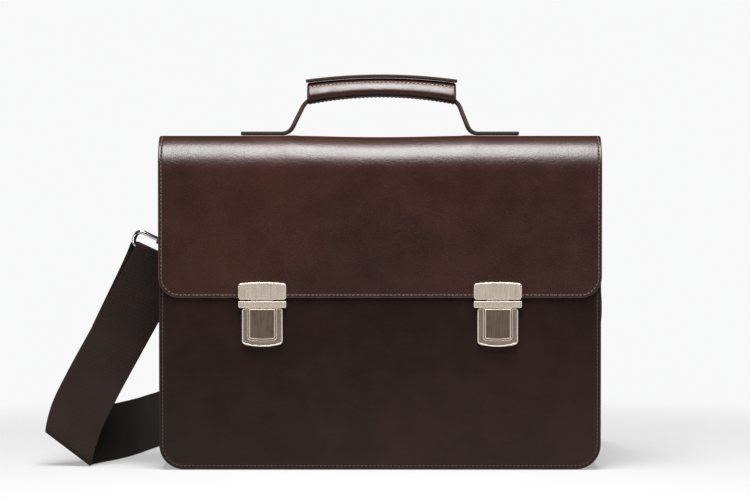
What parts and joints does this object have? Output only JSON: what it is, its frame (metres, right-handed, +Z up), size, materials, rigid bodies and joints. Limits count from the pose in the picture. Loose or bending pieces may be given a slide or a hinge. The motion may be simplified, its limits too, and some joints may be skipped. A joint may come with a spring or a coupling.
{
  "type": "leather document case",
  "caption": "Leather document case with a front flap, push-button locks, a padded top handle, folded side gussets and a webbing shoulder strap.",
  "frame": {"origin": "the middle of the gusset's flat underside, on the surface that the case stands on", "axes": "+X to the right as seen from the front, +Y from the flap's face to the back panel, +Z up"},
  "size_m": [0.5133, 0.4, 0.356],
  "materials": {
    "leather": "smooth semi-gloss, fine grain",
    "edge_leather": "satin, dark painted edges",
    "webbing": "matt woven webbing",
    "nickel": "brushed, bright bevelled rims",
    "dark_nickel": "dark brushed",
    "ring_metal": "polished wire"
  },
  "bodies": {
    "case": {"front_panel": "leather", "back_and_flap": "leather", "gusset": "leather", "handle_strap": "edge_leather", "handle_grip": "leather", "handle_top_strip": "edge_leather", "lock_cap_left": "nickel", "lock_bar_left": "nickel", "lock_plate_left": "nickel", "ring_left": "ring_metal", "ring_tab_left": "edge_leather", "lock_cap_right": "nickel", "lock_bar_right": "nickel", "lock_plate_right": "nickel", "ring_right": "ring_metal", "ring_tab_right": "edge_leather", "shoulder_strap": "webbing"},
    "button_left": {"lock_button_left": "dark_nickel"},
    "button_right": {"lock_button_right": "dark_nickel"}
  },
  "joints": [
    {"name": "press_left", "type": "slide", "parent": "case", "child": "button_left", "axis": [0, 1, 0], "range_m": [0, 0.0015], "stiffness_N_per_m": 800},
    {"name": "press_right", "type": "slide", "parent": "case", "child": "button_right", "axis": [0, 1, 0], "range_m": [0, 0.0015], "stiffness_N_per_m": 800}
  ]
}
